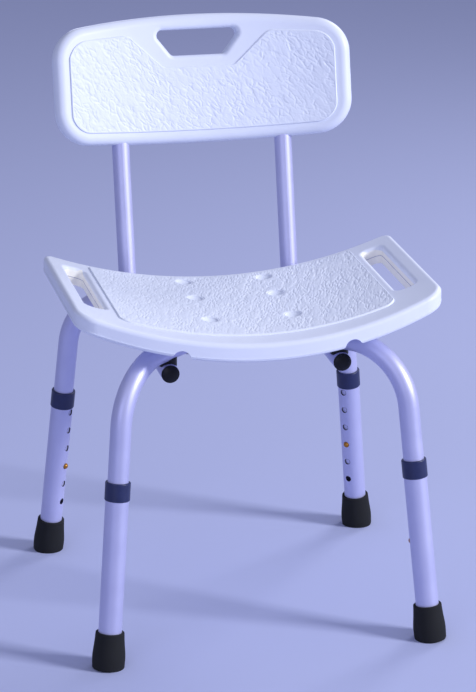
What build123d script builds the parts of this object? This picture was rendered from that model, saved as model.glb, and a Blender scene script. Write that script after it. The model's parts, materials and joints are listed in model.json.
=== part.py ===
from build123d import *
import os
from math import asin, atan2, cos, degrees, radians, sin, sqrt, tan

os.makedirs("parts", exist_ok=True)

# Shower stool with a backrest: blow-moulded seat and backrest on a crossed tube frame with
# four telescoping legs. Millimetres, +Z up, +X to the sitter's left, the front faces -Y.

# ---------------------------------------------------------------- driving dimensions
ORIGIN_Y = -21.5            # moves the crossing frame so the whole stool is centred on Y = 0

# frame and legs
FOOT_X_FRONT = 199.5        # half the distance between the front feet
FOOT_X_REAR = 209.3         # half the distance between the rear feet
FOOT_Y = 195.5              # front and rear feet from the middle of the frame
KNEE_Y = 159.2              # where the legs' lines meet the crossed tubes' height
FRAME_TURN = 42.7           # plan direction of a frame tube, degrees from the X axis
CROSS_SHIFT = -3.1          # Y of the crossing from the middle of the frame
FRAME_Z = 360.5             # centre line of the crossed tubes under the seat
FRAME_OD = 25.0
FRAME_WALL = 1.3
FRAME_BEND = 80.0
FRAME_END = 86.0            # lower end of the frame tube, measured up the leg
LEG_OD = 28.0
RUN_FIT = 0.05              # radial clearance of every telescoping or turning fit
HOLE_PITCH = 25.4
HOLE_TOP = 200.0            # uppermost adjusting hole, measured up the leg
HOLE_COUNT = 6
LOCKED_HOLE = 3             # the button sits in the fourth hole from the top
HOLE_D = 8.2
BUTTON_D = 7.4
COLLAR_LOW = 205.5
COLLAR_HIGH = 227.8
COLLAR_OD = 30.4
FOOT_HEIGHT = 43.8
FOOT_TOP_OD = 34.6
FOOT_MAX_OD = 39.6
FOOT_FLOOR = 7.0            # rubber under the end of the leg tube

# pressed-flat crossing of the two frame tubes
CROSS_ROUND = 44.0          # the tube is round beyond this distance from the crossing
CROSS_FLAT = 20.0
CROSS_HALF_WIDTH = 17.6
CROSS_HALF_HEIGHT = 4.8
CROSS_GAP = 0.2

# back tubes
BACK_X = 105.5
BACK_OD = 22.0
BACK_WALL = 1.2
BACK_Z = 335.3              # lower run, under the crossed tubes
BACK_FRONT = -115.5
BACK_REAR = 151.8
BACK_LEAN = 13.0            # degrees back from vertical
BACK_BEND = 50.0
BACK_TUBE_TOP = 205.0       # up the backrest plane from its base point

# seat
SEAT_Z = 387.6              # lowest point of the seat's top surface
SEAT_R = 602.0              # radius of the dished top
SEAT_HALF_X = 223.0
SEAT_BACK = 105.0
SEAT_FRONT = -185.0
SEAT_BOW = 35.0             # how far the front edge curves back at the corners
SEAT_SKIRT = 22.4
SEAT_BODY = 14.4            # double-wall thickness inside the skirt
SEAT_LIP = 7.0
WALL = 2.5
PANEL_X = 167.0
PANEL_BACK = 92.0
PANEL_FRONT = -150.0
PANEL_RISE = 1.0
SLOT_X = 190.9
SLOT_Y = -11.0
SLOT_W = 24.6
SLOT_L = 168.0
DRAIN_X = 50.5
DRAIN_Y = (71.0, 1.5, -88.0)
DRAIN_D = 20.0
DRAIN_DEPTH = 3.2
CHANNEL_X = 103.5           # stiffening channels across the underside
CHANNEL_R = 11.0
CHANNEL_DROP = 1.6          # centre of the channel's arch under the skirt's lower edge
CHANNEL_FLARE = 6.0         # rounding where the arch meets that edge
BEAD = 0.4                  # parting line left by the mould, its height and half its width
SEAT_BEAD = 18.2            # depth of the seat's parting line under the top surface

# backrest
REST_R = 480.0              # wrap radius of the backrest's middle surface
REST_BASE_Z = 450.0
REST_THICK = 28.0
REST_HALF_X = 191.0
REST_LOW = 88.8
REST_HIGH = 251.0
REST_CORNER = 44.0
REST_EDGE = 10.0
REST_GRIP = 6.0

# fastenings
RIVET_R = 3.0
SCREW_X = 75.0
SCREW_R = 2.5
SCREW_HEAD_R = 4.8
BOLT_R = 3.0
BOLT_HEAD_R = 5.4
BOLT_HEAD = 3.4
SOCKET_R = 1.9
INSERT_R = 4.5
INSERT_LENGTH = 12.0
SADDLE_R = 11.0
SADDLE_SINK = 4.5           # how far a saddle reaches down beside its back tube
SADDLE_HEIGHT = 10.2
REST_SCREW_R = 2.1
REST_SCREW_HEAD_R = 4.3
REST_SCREW_LENGTH = 9.0
REST_SCREW_UP = (125.0, 180.0)      # up the backrest plane from its base point

# ---------------------------------------------------------------- shared geometry
CORNERS = {"fl": (-1, -1), "fr": (1, -1), "bl": (-1, 1), "br": (1, 1)}
FOOT_X = {-1: FOOT_X_FRONT, 1: FOOT_X_REAR}
HEADING = radians(FRAME_TURN)
CROSS_Y = ORIGIN_Y + CROSS_SHIFT
FRAME_R = FRAME_OD / 2
LEG_R = LEG_OD / 2
LEG_BORE_R = FRAME_R + RUN_FIT
BUTTON_Z = HOLE_TOP - LOCKED_HOLE * HOLE_PITCH
BACK_R = BACK_OD / 2
TILT = radians(BACK_LEAN)


def foot_point(sx, sy):
    return Vector(sx * FOOT_X[sy], sy * FOOT_Y + ORIGIN_Y, 0)


def knee_point(sx, sy):
    """Where a leg's centre line meets its frame tube's, inside the bend."""
    return Vector(sx * (KNEE_Y - sy * CROSS_SHIFT) / tan(HEADING), sy * KNEE_Y + ORIGIN_Y, FRAME_Z)


def leg_plane(sx, sy):
    """Local Z runs up the leg from the floor, local X points to the middle of the stool."""
    up = (knee_point(sx, sy) - foot_point(sx, sy)).normalized()
    inward = Vector(-sx * cos(HEADING), -sy * sin(HEADING), 0)
    return Plane(origin=foot_point(sx, sy), x_dir=inward - up * inward.dot(up), z_dir=up)


def leg_at(sx, sy, height):
    return leg_plane(sx, sy).from_local_coords(Vector(0, 0, height))


def tube_y(x, side):
    """Y of a frame tube's centre line at x; side +1 runs front-left to rear-right."""
    return CROSS_Y + side * x * tan(HEADING)


def seat_top(x):
    return SEAT_Z + SEAT_R - sqrt(SEAT_R ** 2 - x ** 2)


def seat_band(low, high):
    """Curved layer of the seat between two depths under its top surface (negative is above)."""
    half = 260.0
    rise = seat_top(half)
    with BuildPart() as band:
        with BuildSketch(Plane.XZ):
            with BuildLine():
                ThreePointArc((-half, rise - low), (0, SEAT_Z - low), (half, rise - low))
                Line((half, rise - low), (half, rise - high))
                ThreePointArc((half, rise - high), (0, SEAT_Z - high), (-half, rise - high))
                Line((-half, rise - high), (-half, rise - low))
            make_face()
        extrude(amount=320, both=True)
    return band.part


def seat_outline(inset):
    """Plan outline of the seat, drawn in by a margin."""
    x = SEAT_HALF_X - inset
    back = SEAT_BACK + ORIGIN_Y - inset
    front = SEAT_FRONT + ORIGIN_Y + inset
    side = front + SEAT_BOW
    with BuildSketch() as outline:
        with BuildLine():
            Line((-x, side), (-x, back))
            Line((-x, back), (x, back))
            Line((x, back), (x, side))
            ThreePointArc((x, side), (0, front), (-x, side))
        make_face()
        fillet(outline.vertices().group_by(Axis.Y)[-1], 13 - inset * 0.4)
        fillet(outline.vertices().sort_by(Axis.Y)[:2], 32 - inset * 0.8)
    return outline.sketch


def slot_outlines(grow):
    with BuildSketch() as slots:
        with Locations((-SLOT_X, SLOT_Y + ORIGIN_Y), (SLOT_X, SLOT_Y + ORIGIN_Y)):
            RectangleRounded(SLOT_W + 2 * grow, SLOT_L + 2 * grow, 9.0 + grow * 0.5)
    return slots.sketch


def channel_outlines(grow):
    """Arched mouths of the two underside channels, flared at the skirt's lower edge."""
    slope = degrees(asin(CHANNEL_X / SEAT_R))
    with BuildSketch(Plane.XZ) as mouths:
        for sx in (-1, 1):
            with Locations(Location((sx * CHANNEL_X, seat_top(CHANNEL_X) - SEAT_SKIRT), sx * slope)):
                with Locations((0, -CHANNEL_DROP)):
                    Circle(CHANNEL_R + grow)
                Rectangle(4 * CHANNEL_R, 2 * CHANNEL_R, align=(Align.CENTER, Align.MAX))
        if not grow:
            arches = mouths.edges().filter_by(GeomType.CIRCLE)
            fillet(arches.vertices(), CHANNEL_FLARE)
    return mouths.sketch


def seat_layer(low, high, inset, grow):
    """Layer of the seat between two depths, cut to the outline and clear of the hand slots."""
    with BuildPart() as layer:
        add(seat_band(low, high))
        extrude(seat_outline(inset), amount=600, mode=Mode.INTERSECT)
        extrude(slot_outlines(grow), amount=600, mode=Mode.SUBTRACT)
    return layer.part


def dome(radius, base, crown):
    """Arc of a sphere centred on the local Y axis, from the rim up to the crown."""
    rise = crown - base
    ball = (radius ** 2 + rise ** 2) / (2 * abs(rise))
    half = atan2(radius, ball - abs(rise)) / 2
    drop = ball * (1 - cos(half)) * (1 if rise > 0 else -1)
    return ThreePointArc((radius, base), (ball * sin(half), crown - drop), (0, crown))


def crossings(x):
    """The four points where the frame tubes pass |x|."""
    return [(sx * x, tube_y(sx * x, side)) for sx in (-1, 1) for side in (-1, 1)]


# ---------------------------------------------------------------- seat
with BuildPart() as seat_panel:
    add(seat_band(-PANEL_RISE, 1.5))
    with BuildSketch() as panel_outline:
        with BuildLine():
            Line((-PANEL_X, PANEL_FRONT + 17 + ORIGIN_Y), (-PANEL_X, PANEL_BACK + ORIGIN_Y))
            Line((-PANEL_X, PANEL_BACK + ORIGIN_Y), (PANEL_X, PANEL_BACK + ORIGIN_Y))
            Line((PANEL_X, PANEL_BACK + ORIGIN_Y), (PANEL_X, PANEL_FRONT + 17 + ORIGIN_Y))
            ThreePointArc((PANEL_X, PANEL_FRONT + 17 + ORIGIN_Y), (0, PANEL_FRONT + ORIGIN_Y),
                          (-PANEL_X, PANEL_FRONT + 17 + ORIGIN_Y))
        make_face()
        fillet(panel_outline.vertices().group_by(Axis.Y)[-1], 5)
        fillet(panel_outline.vertices().sort_by(Axis.Y)[:2], 20)
    extrude(amount=600, mode=Mode.INTERSECT)

with BuildPart() as seat_void:
    add(seat_layer(WALL, SEAT_BODY - WALL, WALL + 0.5, WALL))
    # kiss-off columns under the drains and around the fixing screws stay solid
    with BuildSketch() as columns:
        with Locations([(sx * DRAIN_X, y + ORIGIN_Y) for sx in (-1, 1) for y in DRAIN_Y]):
            Circle(DRAIN_D / 2 + 1)
        with Locations(crossings(SCREW_X)):
            Circle(8)
    extrude(amount=600, mode=Mode.SUBTRACT)
    extrude(channel_outlines(WALL), amount=320, both=True, mode=Mode.SUBTRACT)

with BuildPart() as seat_under:
    # hollow of the underside inside the lip
    add(seat_layer(SEAT_BODY, SEAT_SKIRT + 4, SEAT_LIP, SEAT_LIP - 1))

with BuildPart() as seat_shell:
    add(seat_layer(0, SEAT_SKIRT, 0, 0))
    skin = seat_shell.faces().filter_by(GeomType.CYLINDER).sort_by(SortBy.AREA)[-2:]
    upper = skin.sort_by(Axis.Z)[-1]
    lower = skin.sort_by(Axis.Z)[0]
    fillet(upper.edges(), 5)
    fillet(lower.outer_wire().edges(), 3.5)
    add(seat_layer(SEAT_BEAD - BEAD, SEAT_BEAD + BEAD, -BEAD, 0))
    add(seat_panel.part)
    add(seat_under.part, mode=Mode.SUBTRACT)
    add(seat_void.part, mode=Mode.SUBTRACT)
    # stiffening channels, open at the front and back edges
    extrude(channel_outlines(0), amount=320, both=True, mode=Mode.SUBTRACT)
    # bosses that sit on the frame tubes
    with BuildSketch(Plane.XY.offset(FRAME_Z + FRAME_R - 2.5)):
        with Locations(crossings(SCREW_X)):
            Circle(11)
    extrude(until=Until.NEXT)
    # drain dishes
    with Locations([(sx * DRAIN_X, y + ORIGIN_Y, seat_top(DRAIN_X) + PANEL_RISE)
                    for sx in (-1, 1) for y in DRAIN_Y]):
        Cone(DRAIN_D / 2 - 3.2, DRAIN_D / 2, DRAIN_DEPTH,
             align=(Align.CENTER, Align.CENTER, Align.MAX), mode=Mode.SUBTRACT)
        Cylinder(DRAIN_D / 2, 3, align=(Align.CENTER, Align.CENTER, Align.MIN), mode=Mode.SUBTRACT)
    # saddles around the frame tubes, and screw holes
    for side in (-1, 1):
        direction = Vector(cos(HEADING), side * sin(HEADING), 0)
        with BuildSketch(Plane(origin=(0, CROSS_Y, FRAME_Z), z_dir=direction)):
            Circle(FRAME_R + 0.1)
        extrude(amount=230, both=True, mode=Mode.SUBTRACT)
    with Locations([(x, y, FRAME_Z) for x, y in crossings(SCREW_X)]):
        Cylinder(SCREW_R + 0.05, seat_top(SCREW_X) - WALL - FRAME_Z,
                 align=(Align.CENTER, Align.CENTER, Align.MIN), mode=Mode.SUBTRACT)
    # blow pin hole
    with Locations((0, 60 + ORIGIN_Y, SEAT_Z - SEAT_BODY - 2)):
        Cylinder(3, SEAT_BODY / 2, align=(Align.CENTER, Align.CENTER, Align.MIN), mode=Mode.SUBTRACT)
seat_shell.part.label = "seat_shell"
export_step(seat_shell.part, "parts/seat_shell.step")

# ---------------------------------------------------------------- crossed frame tubes


def tube_arm(corner, start, heading):
    """Round part of a frame tube, from beside the crossing down into a leg."""
    with BuildPart() as arm:
        with BuildLine() as route:
            FilletPolyline(start, knee_point(*corner), leg_at(*corner, FRAME_END), radius=FRAME_BEND)
        with BuildSketch(Plane(origin=start, z_dir=heading)):
            Circle(FRAME_R)
            Circle(FRAME_R - FRAME_WALL, mode=Mode.SUBTRACT)
        sweep(path=route.line)
    return arm.part


def tube_press(start, flat, heading, wall):
    """Transition from the round tube to the pressed-flat crossing."""
    across = Vector(-heading.Y, heading.X, 0)
    with BuildPart() as press:
        with BuildSketch(Plane(origin=start, x_dir=across, z_dir=heading)):
            Circle(FRAME_R - wall)
        with BuildSketch(Plane(origin=flat, x_dir=across, z_dir=heading)):
            Ellipse(CROSS_HALF_WIDTH - wall, CROSS_HALF_HEIGHT - wall)
        loft()
    return press.part


def frame_tube(side, level):
    """Tube from a front foot to the opposite rear foot, pressed flat where the pair cross."""
    direction = Vector(side * cos(HEADING), sin(HEADING), 0)
    across = Vector(-direction.Y, direction.X, 0)
    middle = Vector(0, CROSS_Y, FRAME_Z)
    shift = Vector(0, 0, level * (CROSS_HALF_HEIGHT + CROSS_GAP))
    ends = (((-side, -1), direction * -1), ((side, 1), direction))
    with BuildPart() as tube:
        for corner, heading in ends:
            add(tube_arm(corner, middle + heading * CROSS_ROUND, heading))
        with BuildSketch(Plane(origin=middle + shift, x_dir=across, z_dir=direction)):
            Ellipse(CROSS_HALF_WIDTH, CROSS_HALF_HEIGHT)
            Ellipse(CROSS_HALF_WIDTH - FRAME_WALL, CROSS_HALF_HEIGHT - FRAME_WALL, mode=Mode.SUBTRACT)
        extrude(amount=CROSS_FLAT, both=True)
        for corner, heading in ends:
            start = middle + heading * CROSS_ROUND
            flat = middle + heading * CROSS_FLAT + shift
            add(tube_press(start, flat, heading, 0))
            add(tube_press(start, flat, heading, FRAME_WALL), mode=Mode.SUBTRACT)
        # rivet, screw and bolt holes
        with Locations((0, CROSS_Y, FRAME_Z)):
            Cylinder(RIVET_R + 0.1, 40, mode=Mode.SUBTRACT)
        with Locations([(s * SCREW_X, tube_y(s * SCREW_X, side), FRAME_Z) for s in (-1, 1)]):
            Cylinder(SCREW_R + 0.2, 40, mode=Mode.SUBTRACT)
        with Locations([(s * BACK_X, tube_y(s * BACK_X, side), FRAME_Z) for s in (-1, 1)]):
            Cylinder(BOLT_R + 0.2, 40, mode=Mode.SUBTRACT)
        # button holes
        for corner, heading in ends:
            button_side = leg_plane(*corner)
            with Locations(button_side * Pos(FRAME_R - 1, 0, BUTTON_Z) * Rot(0, 90, 0)):
                Cylinder(HOLE_D / 2, 6, mode=Mode.SUBTRACT)
    return tube.part


cross_tube_a = frame_tube(1, 1)
cross_tube_a.label = "cross_tube_a"
export_step(cross_tube_a, "parts/cross_tube_a.step")
cross_tube_b = frame_tube(-1, -1)
cross_tube_b.label = "cross_tube_b"
export_step(cross_tube_b, "parts/cross_tube_b.step")

with BuildPart() as cross_rivet:
    crest = 2 * CROSS_HALF_HEIGHT + CROSS_GAP
    with BuildSketch(Plane(origin=(0, CROSS_Y, FRAME_Z), x_dir=(1, 0, 0), z_dir=(0, -1, 0))):
        with BuildLine():
            Line((0, -crest - 2), (0, crest + 2))
            dome(6, crest, crest + 2)
            Line((6, crest), (RIVET_R, crest))
            Line((RIVET_R, crest), (RIVET_R, -crest))
            Line((RIVET_R, -crest), (6, -crest))
            dome(6, -crest, -crest - 2)
        make_face()
    revolve(axis=Axis((0, CROSS_Y, 0), (0, 0, 1)))
cross_rivet.part.label = "cross_rivet"
export_step(cross_rivet.part, "parts/cross_rivet.step")

# ---------------------------------------------------------------- telescoping legs


def leg_tube(sx, sy):
    with BuildPart(leg_plane(sx, sy)) as tube:
        with BuildSketch(leg_plane(sx, sy).offset(FOOT_FLOOR)):
            Circle(LEG_R)
            Circle(LEG_BORE_R, mode=Mode.SUBTRACT)
        extrude(amount=COLLAR_HIGH - 3.5 - FOOT_FLOOR)
        for index in range(HOLE_COUNT):
            with Locations(Pos(LEG_R - 1, 0, HOLE_TOP - index * HOLE_PITCH) * Rot(0, 90, 0)):
                Cylinder(HOLE_D / 2, 6, mode=Mode.SUBTRACT)
    return tube.part


def leg_collar(sx, sy):
    """Sleeve over the leg tube, with a lip that closes on the frame tube."""
    outer = COLLAR_OD / 2
    lip = COLLAR_HIGH - 3.4
    profile = Plane(origin=foot_point(sx, sy), x_dir=leg_plane(sx, sy).x_dir,
                    z_dir=leg_plane(sx, sy).y_dir * -1)
    with BuildPart() as collar:
        with BuildSketch(profile):
            with BuildLine():
                Line((LEG_R + 0.02, COLLAR_LOW), (outer - 0.6, COLLAR_LOW))
                Line((outer - 0.6, COLLAR_LOW), (outer, COLLAR_LOW + 0.8))
                Line((outer, COLLAR_LOW + 0.8), (outer, COLLAR_HIGH - 1.2))
                ThreePointArc((outer, COLLAR_HIGH - 1.2), (outer - 0.4, COLLAR_HIGH - 0.4),
                              (outer - 1.2, COLLAR_HIGH))
                Line((outer - 1.2, COLLAR_HIGH), (LEG_BORE_R, COLLAR_HIGH))
                Line((LEG_BORE_R, COLLAR_HIGH), (LEG_BORE_R, lip))
                Line((LEG_BORE_R, lip), (LEG_R + 0.02, lip))
                Line((LEG_R + 0.02, lip), (LEG_R + 0.02, COLLAR_LOW))
            make_face()
        revolve(axis=Axis(foot_point(sx, sy), leg_plane(sx, sy).z_dir))
    return collar.part


def rubber_foot(sx, sy):
    """Flared tip; the floor trims the inner edge of its tilted sole."""
    top = FOOT_TOP_OD / 2
    wide = FOOT_MAX_OD / 2
    drop = -1.5
    profile = Plane(origin=foot_point(sx, sy), x_dir=leg_plane(sx, sy).x_dir,
                    z_dir=leg_plane(sx, sy).y_dir * -1)
    with BuildPart() as tip:
        with BuildSketch(profile):
            with BuildLine():
                Line((0, drop + 0.8), (wide - 7, drop + 0.8))
                Line((wide - 7, drop + 0.8), (wide - 6, drop))
                Line((wide - 6, drop), (wide - 3, drop))
                ThreePointArc((wide - 3, drop), (wide - 1.1, drop + 0.9), (wide - 0.4, drop + 3))
                Spline((wide - 0.4, drop + 3), (wide, 14), (top + 1.3, 27), (top, FOOT_HEIGHT - 1),
                       tangents=((0.05, 1), (-0.06, 1)))
                ThreePointArc((top, FOOT_HEIGHT - 1), (top - 0.3, FOOT_HEIGHT - 0.3),
                              (top - 1, FOOT_HEIGHT))
                Line((top - 1, FOOT_HEIGHT), (LEG_R + 0.02, FOOT_HEIGHT))
                Line((LEG_R + 0.02, FOOT_HEIGHT), (LEG_R + 0.02, FOOT_FLOOR))
                Line((LEG_R + 0.02, FOOT_FLOOR), (0, FOOT_FLOOR))
                Line((0, FOOT_FLOOR), (0, drop + 0.8))
            make_face()
        revolve(axis=Axis(foot_point(sx, sy), leg_plane(sx, sy).z_dir))
        split(bisect_by=Plane.XY, keep=Keep.TOP)
    return tip.part


def snap_button(sx, sy):
    """Domed pin that locks the leg tube to the frame tube."""
    axis_plane = leg_plane(sx, sy)
    centre = axis_plane.from_local_coords(Vector(0, 0, BUTTON_Z))
    r = BUTTON_D / 2
    profile = Plane(origin=centre, x_dir=axis_plane.z_dir, z_dir=axis_plane.y_dir)
    with BuildPart() as button:
        with BuildSketch(profile):
            with BuildLine():
                Line((0, 8.05), (r - 0.3, 8.05))
                Line((r - 0.3, 8.05), (r, 8.35))
                Line((r, 8.35), (r, LEG_R + 0.6))
                dome(r, LEG_R + 0.6, LEG_R + 3.1)
                Line((0, LEG_R + 3.1), (0, 8.05))
            make_face()
        revolve(axis=Axis(centre, axis_plane.x_dir))
    return button.part


def button_spring(sx, sy):
    """U-shaped leaf spring inside the frame tube; one leg carries the button."""
    axis_plane = leg_plane(sx, sy)
    far = -(FRAME_R - FRAME_WALL) + 1.1
    near = 7.6
    bend = (near - far) / 2
    profile = Plane(origin=axis_plane.origin, x_dir=axis_plane.x_dir, z_dir=axis_plane.y_dir * -1)
    with BuildPart() as spring:
        with BuildSketch(profile):
            with BuildLine() as route:
                Line((near, BUTTON_Z + 9), (near, BUTTON_Z - 16))
                ThreePointArc((near, BUTTON_Z - 16), ((near + far) / 2, BUTTON_Z - 16 - bend),
                              (far, BUTTON_Z - 16))
                Line((far, BUTTON_Z - 16), (far, BUTTON_Z + 12))
            trace(route.wires()[0], line_width=0.8)
        extrude(amount=3.5, both=True)
    return spring.part


for corner, (sx, sy) in CORNERS.items():
    pieces = {"leg_tube": leg_tube(sx, sy), "leg_collar": leg_collar(sx, sy),
              "foot": rubber_foot(sx, sy), "snap_button": snap_button(sx, sy),
              "button_spring": button_spring(sx, sy)}
    for kind, piece in pieces.items():
        piece.label = f"{kind}_{corner}"
        export_step(piece, f"parts/{kind}_{corner}.step")

# ---------------------------------------------------------------- back tubes


def rest_plane():
    """Local X across, local Y up the leaning backrest, local Z towards the sitter."""
    rear = BACK_REAR + ORIGIN_Y + (REST_BASE_Z - BACK_Z) * tan(TILT)
    return Plane(origin=(0, rear, REST_BASE_Z), x_dir=(1, 0, 0), z_dir=(0, -cos(TILT), sin(TILT)))


def back_tube(sx):
    front = Vector(sx * BACK_X, BACK_FRONT + ORIGIN_Y, BACK_Z)
    knee = Vector(sx * BACK_X, BACK_REAR + ORIGIN_Y, BACK_Z)
    top = rest_plane().from_local_coords(Vector(sx * BACK_X, BACK_TUBE_TOP, 0))
    with BuildPart() as tube:
        with BuildLine() as route:
            FilletPolyline(front, knee, top, radius=BACK_BEND)
        with BuildSketch(Plane(origin=front, z_dir=(0, 1, 0))):
            Circle(BACK_R)
            Circle(BACK_R - BACK_WALL, mode=Mode.SUBTRACT)
        sweep(path=route.line)
        # bolts enter the upper wall only
        with Locations([(sx * BACK_X, tube_y(sx * BACK_X, side), BACK_Z) for side in (-1, 1)]):
            Cylinder(INSERT_R + 0.1, BACK_R + 2, align=(Align.CENTER, Align.CENTER, Align.MIN),
                     mode=Mode.SUBTRACT)
        # backrest screw holes through the rear wall
        with Locations([rest_plane() * Pos(sx * BACK_X, height, 0) for height in REST_SCREW_UP]):
            Cylinder(REST_SCREW_R + 0.1, BACK_R + 3, align=(Align.CENTER, Align.CENTER, Align.MAX),
                     mode=Mode.SUBTRACT)
    return tube.part


def end_plug(sx):
    """Domed black plug in the front end of a back tube."""
    end = Vector(sx * BACK_X, BACK_FRONT + ORIGIN_Y, BACK_Z)
    profile = Plane(origin=end, x_dir=(0, 0, 1), z_dir=(1, 0, 0))
    stem = BACK_R - BACK_WALL - 0.05
    with BuildPart() as plug:
        with BuildSketch(profile):
            with BuildLine():
                Line((0, 5), (0, -5))
                Line((0, -5), (stem - 0.6, -5))
                Line((stem - 0.6, -5), (stem, -3.5))
                Line((stem, -3.5), (stem, 0))
                Line((stem, 0), (BACK_R - 0.1, 0))
                Line((BACK_R - 0.1, 0), (BACK_R - 0.1, 1.4))
                dome(BACK_R - 0.1, 1.4, 5)
            make_face()
        revolve(axis=Axis(end, (0, 1, 0)))
    return plug.part


def tube_saddle(x, y):
    """Spacer between a back tube and a frame tube, hollowed to both."""
    side = 1 if (y - CROSS_Y) * x > 0 else -1
    direction = Vector(cos(HEADING), side * sin(HEADING), 0)
    with BuildPart() as saddle:
        with Locations((x, y, BACK_Z + BACK_R - SADDLE_SINK)):
            Cylinder(SADDLE_R, SADDLE_HEIGHT, align=(Align.CENTER, Align.CENTER, Align.MIN))
            Cylinder(INSERT_R + 0.2, 3 * SADDLE_HEIGHT, mode=Mode.SUBTRACT)
        with Locations((x, y, BACK_Z)):
            Cylinder(BACK_R + 0.02, 60, rotation=(90, 0, 0), mode=Mode.SUBTRACT)
        with BuildSketch(Plane(origin=(0, CROSS_Y, FRAME_Z), z_dir=direction)):
            Circle(FRAME_R + 0.02)
        extrude(amount=230, both=True, mode=Mode.SUBTRACT)
    return saddle.part


for sx, name in ((-1, "right"), (1, "left")):
    tube = back_tube(sx)
    tube.label = f"back_tube_{name}"
    export_step(tube, f"parts/back_tube_{name}.step")
    plug = end_plug(sx)
    plug.label = f"end_plug_{name}"
    export_step(plug, f"parts/end_plug_{name}.step")

with BuildPart() as tube_saddles:
    for x, y in crossings(BACK_X):
        add(tube_saddle(x, y))
tube_saddles.part.label = "tube_saddles"
export_step(tube_saddles.part, "parts/tube_saddles.step")

# ---------------------------------------------------------------- backrest


def rest_band(front, back):
    """Wrapped layer between two distances from the backrest's middle surface."""
    offset = REST_R - sqrt(REST_R ** 2 - BACK_X ** 2)
    base = rest_plane()
    section = Plane(origin=base.from_local_coords(Vector(0, 0, REST_R - offset)),
                    x_dir=base.x_dir, z_dir=base.y_dir)
    near = REST_R - front
    far = REST_R + back
    with BuildPart() as band:
        with BuildSketch(section):
            Circle(far)
            Circle(near, mode=Mode.SUBTRACT)
            with Locations((0, near * 0.8)):
                Rectangle(460, near * 0.8, mode=Mode.INTERSECT)
        extrude(amount=300)
    return band.part


def rest_outline(inset):
    """Front outline of the backrest, drawn in by a margin, on the leaning plane."""
    x = REST_HALF_X - inset
    low = REST_LOW + inset
    high = REST_HIGH - inset
    with BuildSketch() as outline:
        with BuildLine():
            Line((-x, low + 6), (-x, high - 18))
            ThreePointArc((-x, high - 18), (0, high), (x, high - 18))
            Line((x, high - 18), (x, low + 6))
            ThreePointArc((x, low + 6), (0, low), (-x, low + 6))
        make_face()
        fillet(outline.vertices(), REST_CORNER - inset * 0.8)
    return rest_plane() * outline.sketch


def handle_outline(grow):
    """Hand opening, widest near the top."""
    with BuildSketch() as opening:
        with BuildLine():
            Polyline((-59.5, 232.5), (59.5, 232.5), (34, 199.5), (-34, 199.5), close=True)
        make_face()
        fillet(opening.vertices().sort_by(Axis.Y)[-2:], 7)
        fillet(opening.vertices().sort_by(Axis.Y)[:2], 7)
        if grow:
            offset(amount=grow)
    return rest_plane() * opening.sketch


def rest_layer(front, back, inset, grow):
    with BuildPart() as layer:
        add(rest_band(front, back))
        extrude(rest_outline(inset), amount=150, both=True, mode=Mode.INTERSECT)
        extrude(handle_outline(grow), amount=150, both=True, mode=Mode.SUBTRACT)
    return layer.part


def rest_screw_spots():
    """Spot faces on the back of the shell, two over each back tube."""
    depth = 1 - REST_THICK / 2
    return [rest_plane() * Pos(sx * BACK_X, height, depth) for sx in (-1, 1) for height in REST_SCREW_UP]


with BuildSketch() as rest_panel_outline:
    with BuildLine():
        Polyline((170, 109), (170, 221), (90, 227), (45, 184.5), (-45, 184.5), (-90, 227),
                 (-170, 221), (-170, 109))
        ThreePointArc((-170, 109), (0, 104.5), (170, 109))
    make_face()
    for sign in (-1, 1):
        outer = rest_panel_outline.vertices().sort_by(Axis.X)[::sign][-2:]
        fillet(outer, 26)
    fillet(rest_panel_outline.vertices().group_by(Axis.Y)[-1], 16)
    fillet(rest_panel_outline.vertices().filter_by_position(Axis.X, -46, 46), 12)

with BuildPart() as rest_panel:
    add(rest_band(REST_THICK / 2 + PANEL_RISE, 1.5 - REST_THICK / 2))
    extrude(rest_plane() * rest_panel_outline.sketch, amount=150, both=True, mode=Mode.INTERSECT)

with BuildPart() as rest_void:
    add(rest_layer(REST_THICK / 2 - WALL, REST_THICK / 2 - WALL, REST_EDGE + 1, REST_GRIP + 1))

with BuildPart() as backrest_shell:
    add(rest_layer(REST_THICK / 2, REST_THICK / 2, 0, 0))
    skins = backrest_shell.faces().filter_by(GeomType.CYLINDER).sort_by(SortBy.AREA)[-2:]
    rims = ShapeList([edge for skin in skins for edge in skin.outer_wire().edges()])
    grips = ShapeList([edge for skin in skins for edge in skin.inner_wires()[0].edges()])
    fillet(rims, REST_EDGE)
    fillet(grips, REST_GRIP)
    add(rest_layer(BEAD, BEAD, -BEAD, 0))
    add(rest_panel.part)
    add(rest_void.part, mode=Mode.SUBTRACT)
    # sockets for the back tubes
    with Locations([rest_plane() * Pos(sx * BACK_X, REST_LOW - 8, 0) * Rot(-90, 0, 0) for sx in (-1, 1)]):
        Cylinder(BACK_R + 0.1, BACK_TUBE_TOP - REST_LOW + 9, align=(Align.CENTER, Align.CENTER, Align.MIN),
                 mode=Mode.SUBTRACT)
    # screw holes from behind
    with Locations(rest_screw_spots()):
        Cylinder(REST_SCREW_R + 0.1, REST_SCREW_LENGTH, align=(Align.CENTER, Align.CENTER, Align.MIN),
                 mode=Mode.SUBTRACT)
        Cylinder(REST_SCREW_HEAD_R + 0.7, 8, align=(Align.CENTER, Align.CENTER, Align.MAX),
                 mode=Mode.SUBTRACT)
backrest_shell.part.label = "backrest_shell"
export_step(backrest_shell.part, "parts/backrest_shell.step")

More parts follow.
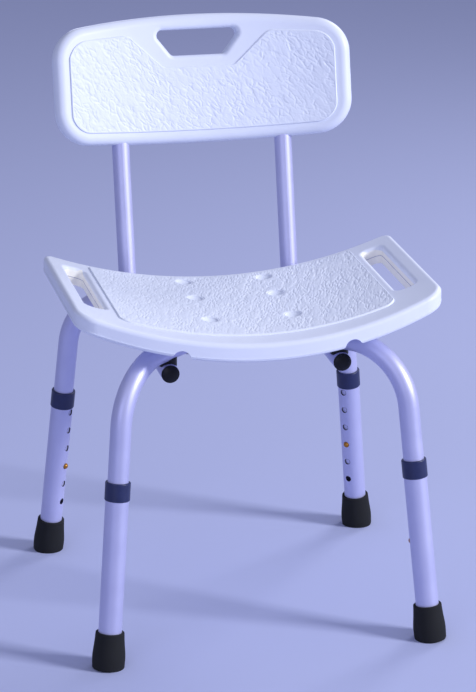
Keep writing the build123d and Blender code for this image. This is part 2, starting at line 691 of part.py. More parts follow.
# ---------------------------------------------------------------- fastenings
with BuildPart() as seat_screws:
    # pan-head screws from below, through the frame tubes into the seat's bosses
    tip = seat_top(SCREW_X) - WALL - 1.5
    under = FRAME_Z - FRAME_R
    with Locations([(x, y, under) for x, y in crossings(SCREW_X)]):
        Cylinder(SCREW_R, tip - under, align=(Align.CENTER, Align.CENTER, Align.MIN))
        Cone(SCREW_HEAD_R - 1.4, SCREW_HEAD_R, 3.0, align=(Align.CENTER, Align.CENTER, Align.MAX))
seat_screws.part.label = "seat_screws"
export_step(seat_screws.part, "parts/seat_screws.step")

with BuildPart() as frame_bolts:
    # button-head bolts on top of the frame tubes, down into the back tubes' inserts
    crown = FRAME_Z + FRAME_R
    with Locations([(x, y, crown) for x, y in crossings(BACK_X)]):
        Cylinder(BOLT_R, crown - BACK_Z + 2, align=(Align.CENTER, Align.CENTER, Align.MAX))
        Cone(BOLT_HEAD_R, BOLT_HEAD_R - 2, BOLT_HEAD, align=(Align.CENTER, Align.CENTER, Align.MIN))
    with Locations([(x, y, crown + BOLT_HEAD) for x, y in crossings(BACK_X)]):
        Cylinder(SOCKET_R, BOLT_HEAD - 1.2, align=(Align.CENTER, Align.CENTER, Align.MAX),
                 mode=Mode.SUBTRACT)
frame_bolts.part.label = "frame_bolts"
export_step(frame_bolts.part, "parts/frame_bolts.step")

with BuildPart() as bolt_inserts:
    # rivet nuts set in the upper wall of the back tubes
    with Locations([(x, y, BACK_Z + BACK_R) for x, y in crossings(BACK_X)]):
        Cylinder(INSERT_R, INSERT_LENGTH, align=(Align.CENTER, Align.CENTER, Align.MAX))
        Cylinder(BOLT_R + 0.05, 3 * INSERT_LENGTH, mode=Mode.SUBTRACT)
bolt_inserts.part.label = "bolt_inserts"
export_step(bolt_inserts.part, "parts/bolt_inserts.step")

with BuildPart() as backrest_screws:
    # pan-head screws from behind, through the shell into the back tubes
    with Locations(rest_screw_spots()):
        Cylinder(REST_SCREW_R, REST_SCREW_LENGTH, align=(Align.CENTER, Align.CENTER, Align.MIN))
        Cone(REST_SCREW_HEAD_R - 1.4, REST_SCREW_HEAD_R, 2.2,
             align=(Align.CENTER, Align.CENTER, Align.MAX))
backrest_screws.part.label = "backrest_screws"
export_step(backrest_screws.part, "parts/backrest_screws.step")
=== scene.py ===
# %% [markdown]
# # Shower stool with a backrest
# A white blow-moulded seat and backrest stand on two crossed, bent tubes. Four leg tubes
# slide over the tube ends and are locked by snap buttons. The CAD model already gives every
# hard piece its true shape, so this lesson adds what CAD leaves out: the grain pressed into
# the plastic, painted shade in the punched holes, the seams in the hand slots with painted
# shade along them, a painted glow on the slot walls, and the finishes.

# %% Load the frame
import json
from math import atan2, cos, radians, sin, sqrt, tan

import bpy
import numpy as np
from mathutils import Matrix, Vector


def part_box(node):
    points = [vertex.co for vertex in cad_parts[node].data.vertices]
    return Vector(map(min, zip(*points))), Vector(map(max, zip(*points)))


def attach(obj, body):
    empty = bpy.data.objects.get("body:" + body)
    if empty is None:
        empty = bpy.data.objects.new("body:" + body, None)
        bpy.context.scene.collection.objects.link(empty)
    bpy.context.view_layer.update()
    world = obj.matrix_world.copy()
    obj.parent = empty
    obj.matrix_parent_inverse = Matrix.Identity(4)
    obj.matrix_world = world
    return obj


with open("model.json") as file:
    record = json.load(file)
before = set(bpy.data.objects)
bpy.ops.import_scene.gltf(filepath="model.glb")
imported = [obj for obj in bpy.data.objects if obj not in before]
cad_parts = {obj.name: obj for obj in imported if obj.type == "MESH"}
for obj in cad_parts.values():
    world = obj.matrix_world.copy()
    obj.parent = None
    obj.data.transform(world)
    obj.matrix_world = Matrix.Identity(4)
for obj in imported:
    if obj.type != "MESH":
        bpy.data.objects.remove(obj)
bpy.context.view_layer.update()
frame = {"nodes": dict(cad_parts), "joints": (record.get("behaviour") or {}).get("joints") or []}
NODES = frame["nodes"]


# %% [markdown]
# ## Camera
# The stool is seen from a little to its right and from standing eye height, far enough away
# that its legs stay almost parallel. A long lens gives that calm perspective: 155 mm on a
# 36 mm frame from about 3.8 m.

# %% Camera
CAMERA_AT = (-0.7589, -3.4422, 1.4654)
CAMERA_TURN = 12.55     # degrees to the right of straight ahead
CAMERA_DIP = 18.01      # degrees down
CAMERA_LENS = 155.42    # mm
FILM_WIDTH = 36         # mm

camera_data = bpy.data.cameras.new("camera")
camera_data.lens = CAMERA_LENS
camera_data.sensor_width = FILM_WIDTH
camera = bpy.data.objects.new("camera", camera_data)
camera.location = CAMERA_AT
camera.rotation_euler = (radians(90 - CAMERA_DIP), 0, radians(-CAMERA_TURN))
bpy.context.scene.collection.objects.link(camera)
bpy.context.scene.camera = camera
print("camera", [round(value, 3) for value in camera.location])

# %% [markdown]
# ## Colours and nodes
# Colours are easiest to pick as hex values, but shaders work in linear light, so one
# function turns one into the other. A second small function adds any shader node with its
# settings and its links, which keeps every material below to a few readable lines.

# %% Colour and node helpers
def paint(code):
    """Linear RGBA of an sRGB hex colour."""
    srgb = np.array([int(code[i:i + 2], 16) for i in (1, 3, 5)]) / 255
    linear = np.where(srgb <= 0.04045, srgb / 12.92, ((srgb + 0.055) / 1.055) ** 2.4)
    return (*linear.tolist(), 1.0)


def add_node(material, kind, inputs=None, **settings):
    """Add a node: inputs maps a socket's name or number to a value or to another socket."""
    tree = material.node_tree
    node = tree.nodes.new(kind)
    for name, value in settings.items():
        setattr(node, name, value)
    for name, value in (inputs or {}).items():
        if isinstance(value, bpy.types.NodeSocket):
            tree.links.new(value, node.inputs[name])
        else:
            node.inputs[name].default_value = value
    return node


def new_material(name, **surface):
    """Material with one Principled shader; surface sets that shader's own sockets."""
    material = bpy.data.materials.new(name)
    material.use_nodes = True
    shader = material.node_tree.nodes["Principled BSDF"]
    for socket, value in surface.items():
        shader.inputs[socket.replace("_", " ")].default_value = value
    return material, shader


# %% [markdown]
# ## White blow-moulded plastic
# The seat and backrest are high-density polyethylene, blown against a metal mould. That
# gives a soft, waxy white with a satin skin. Shade and dullness change slowly, in patches
# 45 mm across, where the wall cooled unevenly. The mould's own texture is finer than half a
# millimetre. It is drawn 0.9 mm across, because a finer one would not show.

# %% White plastic
MM = 0.001
PATCH = 45 * MM


def white_plastic(name, shade, dull, grit, depth):
    """Blow-moulded polyethylene: shades of white, middle roughness, size and depth of its skin."""
    material, shader = new_material(name, Roughness=dull, IOR=1.5)
    place = add_node(material, "ShaderNodeTexCoord").outputs["Object"]
    cloud = add_node(material, "ShaderNodeTexNoise", {"Vector": place, "Scale": 1 / PATCH, "Detail": 2.0})
    shades = {0: cloud.outputs[0], 6: paint(shade[0]), 7: paint(shade[1])}
    tint = add_node(material, "ShaderNodeMix", shades, data_type="RGBA")
    sheen = {"Value": cloud.outputs[0], 3: dull - 0.05, 4: dull + 0.07}
    patch = add_node(material, "ShaderNodeMapRange", sheen)
    skin = add_node(material, "ShaderNodeTexNoise", {"Vector": place, "Scale": 1 / grit, "Detail": 3.0})
    relief = {"Height": skin.outputs[0], "Strength": 0.25, "Distance": depth}
    bump = add_node(material, "ShaderNodeBump", relief)
    links = material.node_tree.links
    links.new(tint.outputs[2], shader.inputs["Base Color"])
    links.new(patch.outputs[0], shader.inputs["Roughness"])
    links.new(bump.outputs[0], shader.inputs["Normal"])
    return material


smooth_plastic_and_slot_glow = white_plastic("blow-moulded polyethylene", ("#E0E5F5", "#E6EBF8"), 0.42,
                               grit=0.9 * MM, depth=0.08 * MM)
for node in ("seat_shell", "backrest_shell"):
    NODES[node].data.materials.clear()
    NODES[node].data.materials.append(smooth_plastic_and_slot_glow)
print("white plastic on the seat and backrest")

# %% [markdown]
# ## The grain pressed into the panels
# The mould's inserts leave a raised panel with a leather grain: flat flakes a few
# millimetres across, parted by creases that run into each other and fade out again. It is
# real relief, up to a millimetre deep, so it is made as geometry and not only as a bump.
# Points are scattered one to a cell of a lattice. Halfway between two of them the nearest
# and the second nearest point are equally far, so the difference of the two distances is
# zero there, and that is where the creases go. Slow noise moves the points' pattern about
# first, so that no crease runs straight, and a second noise lets some creases fade out.

# %% Grain as a height field
def smooth_step(value):
    """0 below 0, 1 above 1, and 3 v^2 - 2 v^3 between them."""
    value = np.clip(value, 0, 1)
    return value * value * (3 - 2 * value)


def scatter(column, row, seed):
    """A number from 0 to 1 for each lattice cell: the fraction part of a large sine."""
    wave = np.sin(column * 127.1 + row * 311.7 + seed * 74.7) * 43758.5453
    return wave - np.floor(wave)


def drift(x, y, seed):
    """Slow noise from -0.5 to 0.5: the scattered numbers, blended between the lattice points."""
    column, row = np.floor(x), np.floor(y)
    u, v = smooth_step(x - column), smooth_step(y - row)
    low = scatter(column, row, seed) * (1 - u) + scatter(column + 1, row, seed) * u
    high = scatter(column, row + 1, seed) * (1 - u) + scatter(column + 1, row + 1, seed) * u
    return low * (1 - v) + high * v - 0.5


def flakes(x, y):
    """Gap between the distances to the two nearest scattered points, and a tilt per flake."""
    column, row = np.floor(x), np.floor(y)
    nearest = np.full_like(x, 9.0)
    second = np.full_like(x, 9.0)
    tilt = np.zeros_like(x)
    for step in np.ndindex(3, 3):
        i, j = column + step[0] - 1, row + step[1] - 1
        away_x, away_y = x - i - scatter(i, j, 1), y - j - scatter(i, j, 2)
        away = np.hypot(away_x, away_y)
        lean = away_x * (scatter(i, j, 3) - 0.5) + away_y * (scatter(i, j, 4) - 0.5)
        tilt = np.where(away < nearest, lean, tilt)
        second = np.minimum(second, np.maximum(nearest, away))
        nearest = np.minimum(nearest, away)
    return second - nearest, tilt


def grain(across, along, turn, length, width, crease, keep, ragged=0.8):
    """Relief from about -1 to 0.3: long flakes at an angle, parted by ragged creases.

    The flakes are length by width; a crease is exp(-(gap / crease)^2) deep, keep is the share
    of the creases that stay deep, and ragged is how far they wander, in flakes.
    """
    c, s = cos(radians(turn)), sin(radians(turn))
    x, y = (across * c + along * s) / length, (along * c - across * s) / width
    x, y = x + ragged * drift(y * 1.3, x * 1.3, 5), y + ragged * drift(x * 1.7, y * 1.7, 6)
    y = y + 0.5 * ragged * drift(x * 4.1, y * 2.9, 8)
    gap, tilt = flakes(x, y)
    depth = smooth_step(keep + 1.5 * drift(x * 1.1, y * 0.7, 7))
    return 0.7 * tilt - np.exp(-(gap / crease) ** 2) * depth


# %% [markdown]
# ## A closed sheet over a curved panel
# Both panels are bent one way only, so straight lines run from one edge to the other. The
# sheet is a grid: one parameter goes across the panel, the other along those lines from edge
# to edge. Its shoulder rolls down just outside the panel's own edge, which is the bright line
# round the grain, and the same straight lines close the sheet underneath.

# %% Sheet builder
PLAIN = 0.9 * MM      # height of the sheet where it has no grain
THINNEST = 0.1 * MM   # lowest that a crease may go
SHOULDER = 1.8 * MM   # width of the rolled shoulder
MARGIN = 1.5 * MM     # the grain fades out over this width
SINK = 1.2 * MM       # how far the shoulder's foot lies below the panel
OUTSET = 1.2 * MM     # how far it reaches past the panel's edge


def rounded_edge(corners, radii, step=0.0006):
    """Polyline through the corners, each rounded by an arc that touches both its sides."""
    corners = np.array(corners)
    path = [corners[0]]
    for before, corner, after, radius in zip(corners, corners[1:], corners[2:], radii):
        back = (before - corner) / np.linalg.norm(before - corner)
        ahead = (after - corner) / np.linalg.norm(after - corner)
        half = np.arccos(np.clip(back @ ahead, -1, 1)) / 2
        centre = corner + (back + ahead) / np.linalg.norm(back + ahead) * radius / sin(half)
        start = corner + back * radius / tan(half) - centre
        sweep = np.pi - 2 * half
        turn = np.sign(back[0] * ahead[1] - back[1] * ahead[0]) * -1
        angle = np.linspace(0, turn * sweep, max(3, int(radius * sweep / step)))
        path.extend(centre + np.stack([start[0] * np.cos(angle) - start[1] * np.sin(angle),
                                       start[0] * np.sin(angle) + start[1] * np.cos(angle)], -1))
    path.append(corners[-1])
    return np.array(path)


def columns_across(half, step, ends=14):
    """Columns an even step apart, crowding towards both ends, where the corners are round."""
    crowd = 0.5 * step * ends
    middle = np.linspace(crowd - half, half - crowd, int(2 * (half - crowd) / step))
    last = half - crowd * np.linspace(1, 0, ends)[1:] ** 2
    return np.concatenate([-last[::-1], middle, last])


def closed_sheet(name, place, across, low, high, relief, depth, step):
    """Grid between two edges with a rolled shoulder, closed below.

    place(s, t, h) gives the point at s across, t along and h above the panel. Column i lies
    at across[i]; its rows run in even steps from low[i] to high[i]. The relief fades out over
    MARGIN along the border, and within SHOULDER of it the height falls smoothly to -SINK. The
    border then drops to depth, where straight lines join its two sides.
    """
    low_lean, high_lean = (1 / np.hypot(1, np.gradient(edge, across)) for edge in (low, high))
    across, low, high, low_lean, high_lean = (
        np.concatenate([row[:1], row, row[-1:]])[:, None]
        for row in (across, low, high, low_lean, high_lean))
    rows = int((high.max() - low.min()) / step)
    share = np.concatenate([[0], np.linspace(0, 1, rows), [1]])
    s = np.repeat(across, len(share), 1)
    t = low + (high - low) * share
    inside = np.minimum((t - low) * low_lean, (high - t) * high_lean)
    inside = np.minimum(inside, across.max() - np.abs(s))
    h = PLAIN + (relief(s, t) - PLAIN) * smooth_step((inside - SHOULDER) / MARGIN)
    h = (h + SINK) * smooth_step(inside / SHOULDER) - SINK
    h[:, [0, -1]] = -depth
    h[[0, -1], :] = -depth
    points = place(s, t, h)
    index = np.arange(s.size).reshape(s.shape)
    top = np.stack([index[:-1, :-1], index[1:, :-1], index[1:, 1:], index[:-1, 1:]], -1)
    top = top.reshape(-1, 4)
    under = np.stack([index[1:-2, 0], index[1:-2, -1], index[2:-1, -1], index[2:-1, 0]], -1)
    first = [*index[0], index[1, -1], index[1, 0]]
    last = [*index[-1][::-1], index[-2, 0], index[-2, -1]]
    mesh = bpy.data.meshes.new(name)
    ends = [[int(i) for i in first], [int(i) for i in last]]
    mesh.from_pydata(points.reshape(-1, 3).tolist(), [], [*top.tolist(), *under.tolist(), *ends])
    mesh.shade_smooth()
    mesh.update()
    piece = bpy.data.objects.new(name, mesh)
    bpy.context.scene.collection.objects.link(piece)
    print(f"{name}: {len(mesh.polygons)} faces, valid {not mesh.validate()}")
    return piece


# %% [markdown]
# ## Grained panel of the seat
# The seat is part of a cylinder of 602 mm radius lying along Y, so the panel's height follows
# a circle. Six soft dishes gather the water. They are cut into the same height field as
# shallow bowls: at a distance a from its middle, a bowl lies depth * (1 - (a / radius)^2)
# below the panel, and the grain fades out around it.

# %% Seat panel
SEAT_R = 602 * MM
SEAT_Z = 387.6 * MM          # lowest point of the seat's top surface
SEAT_BACK = 105.4 * MM       # from seat_middle, midway between the legs, to the rear edge
PANEL_RISE = 1.0 * MM        # how far the panel stands above the seat around it
PANEL_HALF = 167 * MM
PANEL_FRONT = 150 * MM
PANEL_BACK = 92 * MM
PANEL_BOW = 17 * MM          # how far the panel's front edge curves back at its ends
DISH_R = 10.6 * MM
DISH_DEPTH = 2.9 * MM
DISH_RIM = 12 * MM           # the grain ends here
DISH_FADE = 2 * MM
DISH_X = 50.5 * MM
DISH_ROWS = (71.0, 1.5, -88.0)   # mm behind seat_middle
seat_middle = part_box("seat_shell")[1].y - SEAT_BACK


def on_seat(s, t, h):
    """Point above the dished seat: z follows the circle z = z0 + R - sqrt(R^2 - x^2)."""
    return np.stack([s, t, SEAT_Z + SEAT_R - np.sqrt(SEAT_R ** 2 - s ** 2) + PANEL_RISE + h], -1)


def seat_relief(s, t):
    """Grain of the seat with the six drain dishes."""
    relief = PLAIN + 0.55 * MM * grain(s, t, turn=70, length=15 * MM, width=3.3 * MM,
                                     crease=0.3, keep=0.7, ragged=0.6)
    relief = np.maximum(relief, THINNEST)
    for side in (-1, 1):
        for row in DISH_ROWS:
            away = np.hypot(s - side * DISH_X, t - seat_middle - row * MM)
            bowl = np.maximum(1 - (away / DISH_R) ** 2, 0)
            relief = relief * (1 - smooth_step((DISH_RIM - away) / DISH_FADE)) - DISH_DEPTH * bowl
    return relief


half = PANEL_HALF + OUTSET
front = seat_middle - PANEL_FRONT - OUTSET
middle_bow = [(x, front + PANEL_BOW * (x / half) ** 2) for x in np.linspace(-0.8, 0.8, 41) * half]
bow = rounded_edge([(-half, seat_middle), (-half, front + PANEL_BOW), *middle_bow,
                    (half, front + PANEL_BOW), (half, seat_middle)],
                   [20 * MM] + [2 * MM] * len(middle_bow) + [20 * MM])
back = seat_middle + PANEL_BACK + OUTSET
rear = rounded_edge([(-half, seat_middle), (-half, back), (half, back), (half, seat_middle)],
                    [6 * MM, 6 * MM])
columns = columns_across(half, 0.67 * MM)
low, high = (np.interp(columns, edge[:, 0], edge[:, 1]) for edge in (bow, rear))
seat_grain = closed_sheet("seat_grain", on_seat, columns, low, high, seat_relief,
                          depth=5 * MM, step=1.32 * MM)

# %% [markdown]
# ## Painted glow on the walls of the hand slots
# Polyethylene lets some light through. The walls of the hand slots are thin and lit from
# both sides, and that light is painted in: a creamier, brighter colour than the seat's top,
# which fills a box in each slot. Folding the coordinates about the seat's middle lets one
# box serve both slots: a point p is inside where every part of | |p - middle| - centre | is
# under half the box.

# %% Painted glow on the slot walls
SLOT = (190.9 * MM, seat_middle - 11 * MM)
SLOT_HALF = (12.3 * MM, 84 * MM)
SLOT_LEVEL = 401 * MM
GLOW_HALF = 16 * MM          # half the height of the tinted box
GLOW_FADE = 0.6 * MM
reach = np.array([SLOT_HALF[0] + GLOW_FADE, SLOT_HALF[1] + GLOW_FADE, GLOW_HALF])

shader = smooth_plastic_and_slot_glow.node_tree.nodes["Principled BSDF"]
glow_spot = add_node(smooth_plastic_and_slot_glow, "ShaderNodeTexCoord").outputs["Object"]
for centre in ((0, SLOT[1], 0), (SLOT[0], 0, SLOT_LEVEL)):
    moved = add_node(smooth_plastic_and_slot_glow, "ShaderNodeVectorMath", {0: glow_spot, 1: centre}, operation="SUBTRACT")
    folded = add_node(smooth_plastic_and_slot_glow, "ShaderNodeVectorMath", {0: moved.outputs[0]}, operation="ABSOLUTE")
    glow_spot = folded.outputs[0]
limits = {"Vector": glow_spot, 7: reach, 8: reach - GLOW_FADE, 9: (0, 0, 0), 10: (1, 1, 1)}
glow_within = add_node(smooth_plastic_and_slot_glow, "ShaderNodeMapRange", limits, data_type="FLOAT_VECTOR")
inside = add_node(smooth_plastic_and_slot_glow, "ShaderNodeSeparateXYZ", {0: glow_within.outputs["Vector"]}).outputs
glow_plan = add_node(smooth_plastic_and_slot_glow, "ShaderNodeMath", {0: inside[0], 1: inside[1]}, operation="MULTIPLY")
share = add_node(smooth_plastic_and_slot_glow, "ShaderNodeMath", {0: glow_plan.outputs[0], 1: inside[2]}, operation="MULTIPLY")
skin_tint = shader.inputs["Base Color"].links[0].from_socket
# cream #FDFAF0 is painted light: the glow of light shining through the thin slot walls
shades = {0: share.outputs[0], 6: skin_tint, 7: paint("#FDFAF0")}
tint = add_node(smooth_plastic_and_slot_glow, "ShaderNodeMix", shades, data_type="RGBA")
smooth_plastic_and_slot_glow.node_tree.links.new(tint.outputs[2], shader.inputs["Base Color"])
print("slot walls tinted inside", (reach * 2000).round(1).tolist(), "mm boxes")

# %% [markdown]
# ## Grained panel of the backrest
# The backrest wraps round the sitter with a radius of 480 mm and leans back 13 degrees. Its
# panel is drawn on the leaning plane, across and up, and then carried to the wrapped front.
# Its top edge dips in the middle to leave room for the handle opening.

# %% Backrest panel
LEAN = radians(13)
REST_FOOT = (seat_middle + (151.8 + 114.7 * tan(LEAN)) * MM, 450 * MM)   # y and z of the plane's foot
REST_FRONT_R = 465 * MM
REST_AXIS = sqrt(480 ** 2 - 105.5 ** 2) * MM    # the back tubes touch the wrap 105.5 mm off its middle
REST_HALF = 170 * MM
REST_LOW, REST_LOW_END = 0.1033, 0.1078         # lower edge at its middle and its ends, up the plane
REST_MIDDLE, REST_HIGH_END = 0.15, 0.2221
DIP = ((0.0905, 0.2282), (0.0453, 0.1857))      # where the upper edge turns down, and its bottom


def on_rest(s, t, h):
    """Point h in front of the wrapped panel: the distance to the wrap's axis is R - h."""
    n = REST_AXIS - np.sqrt((REST_FRONT_R - h) ** 2 - s ** 2)
    return np.stack([s, REST_FOOT[0] + t * sin(LEAN) - n * cos(LEAN),
                     REST_FOOT[1] + t * cos(LEAN) + n * sin(LEAN)], -1)


def rest_relief(s, t):
    """Grain of the backrest: short deep creases and longer, finer ones, from two fields far apart."""
    short = grain(s + 1.0, t, turn=-50, length=10 * MM, width=4.6 * MM, crease=0.24, keep=0.45)
    long = grain(s + 2.0, t, turn=-62, length=22 * MM, width=8 * MM, crease=0.12, keep=0.35)
    return np.maximum(PLAIN + 0.6 * MM * short + 0.5 * MM * long, THINNEST)


half = REST_HALF + OUTSET
middle_sag = [(x, REST_LOW + (REST_LOW_END - REST_LOW) * (x / half) ** 2)
              for x in np.linspace(-0.8, 0.8, 41) * half]
sag = rounded_edge([(-half, REST_MIDDLE), (-half, REST_LOW_END), *middle_sag,
                    (half, REST_LOW_END), (half, REST_MIDDLE)],
                   [27 * MM] + [2 * MM] * len(middle_sag) + [27 * MM])
(turn_x, turn_z), (floor_x, floor_z) = DIP
crest = rounded_edge([(-half, REST_MIDDLE), (-half, REST_HIGH_END), (-turn_x, turn_z), (-floor_x, floor_z),
                      (floor_x, floor_z), (turn_x, turn_z), (half, REST_HIGH_END), (half, REST_MIDDLE)],
                     [27 * MM, 17 * MM, 11 * MM, 11 * MM, 17 * MM, 27 * MM])
columns = columns_across(half, 0.74 * MM)
low, high = (np.interp(columns, edge[:, 0], edge[:, 1]) for edge in (sag, crest))
rest_grain = closed_sheet("backrest_grain", on_rest, columns, low, high, rest_relief,
                          depth=2 * MM, step=0.61 * MM)

# %% [markdown]
# ## Finish of the grained panels
# It is the same plastic, painted a touch brighter for the light that the flakes catch, and a
# little duller, because the insert's grain also leaves a tooth on every flake. The real tooth
# is finer than a millimetre. It is drawn 1.8 mm across and 0.6 mm deep, so that it shows.

# %% Grained plastic
# the shades are a touch brighter than the smooth plastic's: painted light for the flakes catching it
grained_plastic = white_plastic("grained polyethylene", ("#E1E7F6", "#E9EEFA"), 0.5,
                                grit=1.8 * MM, depth=0.6 * MM)
for piece in (seat_grain, rest_grain):
    piece.data.materials.append(grained_plastic)
    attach(piece, "frame")
print(grained_plastic.name, "on", seat_grain.name, "and", rest_grain.name)

# %% [markdown]
# ## Satin anodised tube
# The tubes are aluminium, etched matt and anodised. The clear oxide takes off half of the
# metal's mirror, and the etch breaks up reflections into one broad soft band along the tube.
# Its pits are far too fine to show, so they are drawn 0.6 mm across. Sheen and shade change
# slowly, over about 30 mm.

# %% Tube
tube_metal, shader = new_material("satin anodised aluminium", Metallic=0.5)
place = add_node(tube_metal, "ShaderNodeTexCoord").outputs["Object"]
cloud = add_node(tube_metal, "ShaderNodeTexNoise", {"Vector": place, "Scale": 1 / (30 * MM), "Detail": 2.0})
sheen = add_node(tube_metal, "ShaderNodeMapRange", {"Value": cloud.outputs[0], 3: 0.44, 4: 0.56})
shades = {0: cloud.outputs[0], 6: paint("#BEBFE4"), 7: paint("#C9CAEC")}
tint = add_node(tube_metal, "ShaderNodeMix", shades, data_type="RGBA")
etch = add_node(tube_metal, "ShaderNodeTexNoise", {"Vector": place, "Scale": 1 / (0.6 * MM), "Detail": 2.0})
pits = {"Height": etch.outputs[0], "Strength": 0.2, "Distance": 0.05 * MM}
bump = add_node(tube_metal, "ShaderNodeBump", pits)
tube_metal.node_tree.links.new(tint.outputs[2], shader.inputs["Base Color"])
tube_metal.node_tree.links.new(sheen.outputs[0], shader.inputs["Roughness"])
tube_metal.node_tree.links.new(bump.outputs[0], shader.inputs["Normal"])


def dress(prefixes, material):
    """Give a material to every CAD node whose name starts with one of the prefixes."""
    names = [name for name in NODES if name.startswith(prefixes)]
    for name in names:
        NODES[name].data.materials.clear()
        NODES[name].data.materials.append(material)
    print(material.name, "on", len(names), "nodes")


dress(("cross_tube", "leg_tube", "back_tube"), tube_metal)

# %% [markdown]
# ## Moulded plastic, rubber, brass and steel
# The small parts are told apart by their finish. The plugs and spacers are black nylon with
# a slight sheen, the collars are a blue-grey polypropylene, and the tips are rubber, almost
# without a shine and with a dusty mottling. The buttons are turned brass, and the screws,
# rivet and springs are zinc-plated steel. Their skins are finer than a millimetre, so each
# bump is drawn 0.5 to 1 mm across to show at all.

# %% Small parts
def mottled(name, shades, dull, grit, depth, **surface):
    """Plain material with two close shades in slow patches and a bump; grit and depth in mm."""
    material, shader = new_material(name, **surface)
    place = add_node(material, "ShaderNodeTexCoord").outputs["Object"]
    cloud = add_node(material, "ShaderNodeTexNoise", {"Vector": place, "Scale": 1 / (9 * MM), "Detail": 4.0})
    blend = {0: cloud.outputs[0], 6: paint(shades[0]), 7: paint(shades[1])}
    tint = add_node(material, "ShaderNodeMix", blend, data_type="RGBA")
    patches = {"Value": cloud.outputs[0], 3: dull - 0.07, 4: dull + 0.07}
    sheen = add_node(material, "ShaderNodeMapRange", patches)
    texture = {"Vector": place, "Scale": 1 / (grit * MM), "Detail": 2.0}
    skin = add_node(material, "ShaderNodeTexNoise", texture)
    relief = {"Height": skin.outputs[0], "Strength": 0.4, "Distance": depth * MM}
    bump = add_node(material, "ShaderNodeBump", relief)
    material.node_tree.links.new(tint.outputs[2], shader.inputs["Base Color"])
    material.node_tree.links.new(sheen.outputs[0], shader.inputs["Roughness"])
    material.node_tree.links.new(bump.outputs[0], shader.inputs["Normal"])
    return material


dress(("end_plug", "tube_saddles"),
      mottled("black nylon", ("#05060C", "#0A0C16"), 0.42, 0.7, 0.05, Specular_IOR_Level=0.3))
dress(("leg_collar",), mottled("blue-grey polypropylene", ("#182048", "#212B5A"), 0.4, 0.7, 0.05))
dress(("foot",),
      mottled("moulded rubber", ("#141517", "#1D1E21"), 0.8, 1.0, 0.15, Specular_IOR_Level=0.3))
dress(("snap_button",), mottled("turned brass", ("#A8702C", "#C48A3C"), 0.35, 0.5, 0.02, Metallic=0.8))
dress(("seat_screws", "frame_bolts", "bolt_inserts", "backrest_screws", "cross_rivet", "button_spring"),
      mottled("zinc-plated steel", ("#A9ABB5", "#C4C6CE"), 0.35, 0.5, 0.02, Metallic=1.0))

# %% [markdown]
# ## Painted shade in the adjusting holes
# Each hole gets a dark ring of painted shade, for the shadow on its far wall and in the gap
# between the two tubes. The ring is a small rectangle carried round the hole. The tube is
# round, so the ring's outer and inner rims follow its curve: h = sqrt(R^2 - y^2), with y
# across the tube.

# %% Closed rings and the painted hole shade
HOLE_PITCH = 25.4 * MM
HOLE_STEPS = (-2, -1, 0, 1, 2, 3)    # holes below and above the button's
HOLE_R = 4.1 * MM
TUBE_R = 14 * MM
TUBE_BORE = 12.6 * MM
RING_SUNK = 0.1 * MM                 # the ring starts just under the tube's skin
RING_DEEP = 0.03 * MM                # it reaches this far into the wall
RING_PROUD = 0.32 * MM               # and this far into the hole


def closed_rings(name, rings, material, body):
    """One mesh of rings; ring[i, j] goes round the path with i and round the section with j.

    The pyramids from the origin to the faces add up to the volume. Where it comes out
    negative, the faces point inwards and are turned over.
    """
    points, faces = [], []
    for ring in rings:
        index = np.arange(ring.shape[0] * ring.shape[1]).reshape(ring.shape[:2]) + sum(map(len, points))
        onward, aside = np.roll(index, -1, 0), np.roll(index, -1, 1)
        faces.append(np.stack([index, onward, np.roll(onward, -1, 1), aside], -1).reshape(-1, 4))
        points.append(ring.reshape(-1, 3))
    points, faces = np.concatenate(points), np.concatenate(faces)
    a, b, c, d = (points[faces[:, k]] for k in range(4))
    volume = (np.cross(a, b) * c + np.cross(a, c) * d).sum() / 6
    mesh = bpy.data.meshes.new(name)
    mesh.from_pydata(points.tolist(), [], (faces if volume > 0 else faces[:, ::-1]).tolist())
    mesh.materials.append(material)
    piece = bpy.data.objects.new(name, mesh)
    bpy.context.scene.collection.objects.link(piece)
    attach(piece, body)
    print(f"{name}: {len(rings)} rings, {abs(volume) * 1e9:.1f} mm3")


def middle_along(node, direction):
    """Middle of a node's reach along a direction."""
    reach = np.array([corner.co for corner in NODES[node].data.vertices]) @ direction
    return (reach.min() + reach.max()) / 2


def hole_shade_ring(centre, up, side, out):
    """Ring of painted shade in one hole: u goes round it, and its four corners step across the tube's wall.
    """
    u = np.linspace(0, 2 * np.pi, 32, endpoint=False)[:, None]
    radius = HOLE_R + np.array([RING_DEEP, -RING_PROUD, -RING_PROUD, RING_DEEP])
    level = np.array([TUBE_R - RING_SUNK, TUBE_R - RING_SUNK, TUBE_BORE, TUBE_BORE])
    y = radius * np.sin(u)
    h = np.sqrt(level ** 2 - y ** 2)
    return centre + (radius * np.cos(u))[..., None] * up + y[..., None] * side + h[..., None] * out


# near-black colour is painted shade: the shadow in the hole and in the gap behind it
painted_hole_shade = mottled("painted shade in holes", ("#101119", "#20212C"), 0.6, 0.5, 0.02)
joint_axis = {joint["name"]: -np.array(joint["axis"]) for joint in frame["joints"]}
for corner in ("fl", "fr", "bl", "br"):
    up, out = joint_axis[f"leg_{corner}_slide"], joint_axis[f"button_{corner}_press"]
    side = np.cross(up, out)
    tube = f"leg_tube_{corner}"
    button = (up * middle_along(f"snap_button_{corner}", up) + side * middle_along(tube, side)
              + out * middle_along(tube, out))
    shade_rings = [hole_shade_ring(button + step * HOLE_PITCH * up, up, side, out) for step in HOLE_STEPS]
    closed_rings(f"hole_shadows_{corner}", shade_rings, painted_hole_shade, f"leg_{corner}")

# %% [markdown]
# ## Seam in the hand slots
# The mould's two halves meet inside the slots. The seam there is a fine ledge halfway down
# the wall, coloured grey as painted shade for the dark line along it. It is a low arch carried
# round the slot's outline, and it rises with the dished seat.

# %% Slot seams
SEAM_DEPTH = 12.5 * MM
SLOT_CORNER = 9 * MM


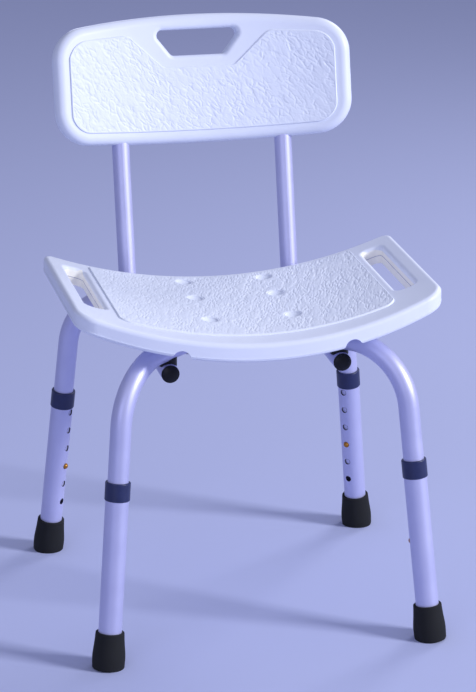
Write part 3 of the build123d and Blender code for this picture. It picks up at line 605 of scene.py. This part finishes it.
def slot_seam(side):
    """Ring along the slot's wall; its section is an arch 0.9 mm tall and 0.35 mm proud."""
    x, y = side * SLOT[0], SLOT[1]
    wide, long = SLOT_HALF
    outline = [(x - wide, y), (x - wide, y + long), (x + wide, y + long),
               (x + wide, y - long), (x - wide, y - long), (x - wide, y)]
    path = rounded_edge(outline, [SLOT_CORNER] * 4)[:-1]
    ahead = np.roll(path, -1, 0) - np.roll(path, 1, 0)
    inward = np.stack([ahead[:, 1], -ahead[:, 0]], -1) / np.linalg.norm(ahead, axis=1)[:, None]
    proud = np.array([-0.3, 0.3, 0.35, 0.3, -0.3]) * MM
    level = np.array([-0.45, -0.3, 0, 0.3, 0.45]) * MM
    ground = path[:, None] + inward[:, None] * proud[:, None]
    seat_top = SEAT_Z + SEAT_R - np.sqrt(SEAT_R ** 2 - ground[..., :1] ** 2)
    return np.concatenate([ground, seat_top - SEAM_DEPTH + level[:, None]], -1)


# the seam's grey colour is painted shade along the ledge
closed_rings("slot_seams", [slot_seam(side) for side in (-1, 1)],
             mottled("seam with painted shade", ("#A0A3B8", "#B0B3C8"), 0.6, 0.7, 0.05), "frame")

# %% [markdown]
# ## Floor
# The stool stands on a plain pale floor that runs far behind it. The floor is staging, so it
# isn't part of the object.

# %% Floor
floor_mesh = bpy.data.meshes.new("floor")
floor_mesh.from_pydata([(-12, -8, 0), (12, -8, 0), (12, 16, 0), (-12, 16, 0)], [], [(0, 1, 2, 3)])
floor = bpy.data.objects.new("floor", floor_mesh)
bpy.context.scene.collection.objects.link(floor)
floor_paint, shader = new_material("pale studio floor", Roughness=0.9)
shader.inputs["Base Color"].default_value = paint("#B6BCDF")
floor.data.materials.append(floor_paint)
print(floor_paint.name, [round(value, 1) for value in floor.dimensions])

# %% [markdown]
# ## Lamps and sky
# A soft lamp from the right models the curves. It stands 6 m away and has a narrowed beam, so
# the floor is lit evenly. A weaker, wider one from the left opens the shadows, and a third
# from behind draws the upper edges. A pale sky fills the rest and shows in the reflections.

# %% Lamps and sky
def soft_lamp(name, at, aim, size, watts, colour, spread=180):
    """Square area lamp at a point, turned to face another; spread is its beam in degrees."""
    data = bpy.data.lights.new(name, "AREA")
    data.size = size
    data.energy = watts
    data.spread = radians(spread)
    data.color = paint(colour)[:3]
    lamp = bpy.data.objects.new(name, data)
    x, y, z = (b - a for a, b in zip(at, aim))
    lamp.location = at
    lamp.rotation_euler = (atan2(sqrt(x * x + y * y), -z), 0, atan2(y, x) - radians(90))
    bpy.context.scene.collection.objects.link(lamp)
    print(f"{name} lamp: {watts} W, {size} m square, {sqrt(x * x + y * y + z * z):.1f} m away")


AIM = (0, 0, 0.4)
soft_lamp("key", (4.8, -3.0, 3.1), AIM, 1.4, 102, "#F4F6FF", spread=100)
soft_lamp("fill", (-2.0, -2.8, 1.5), AIM, 2.0, 24, "#DADFFF")
soft_lamp("rim", (1.7, 1.5, 2.0), AIM, 0.8, 18, "#F4F5FF")

world = bpy.data.worlds.new("pale sky")
bpy.context.scene.world = world
world.use_nodes = True
sky = world.node_tree.nodes["Background"]
sky.inputs["Color"].default_value = paint("#D3D9FA")
sky.inputs["Strength"].default_value = 0.44
bpy.context.scene.view_settings.view_transform = "Standard"
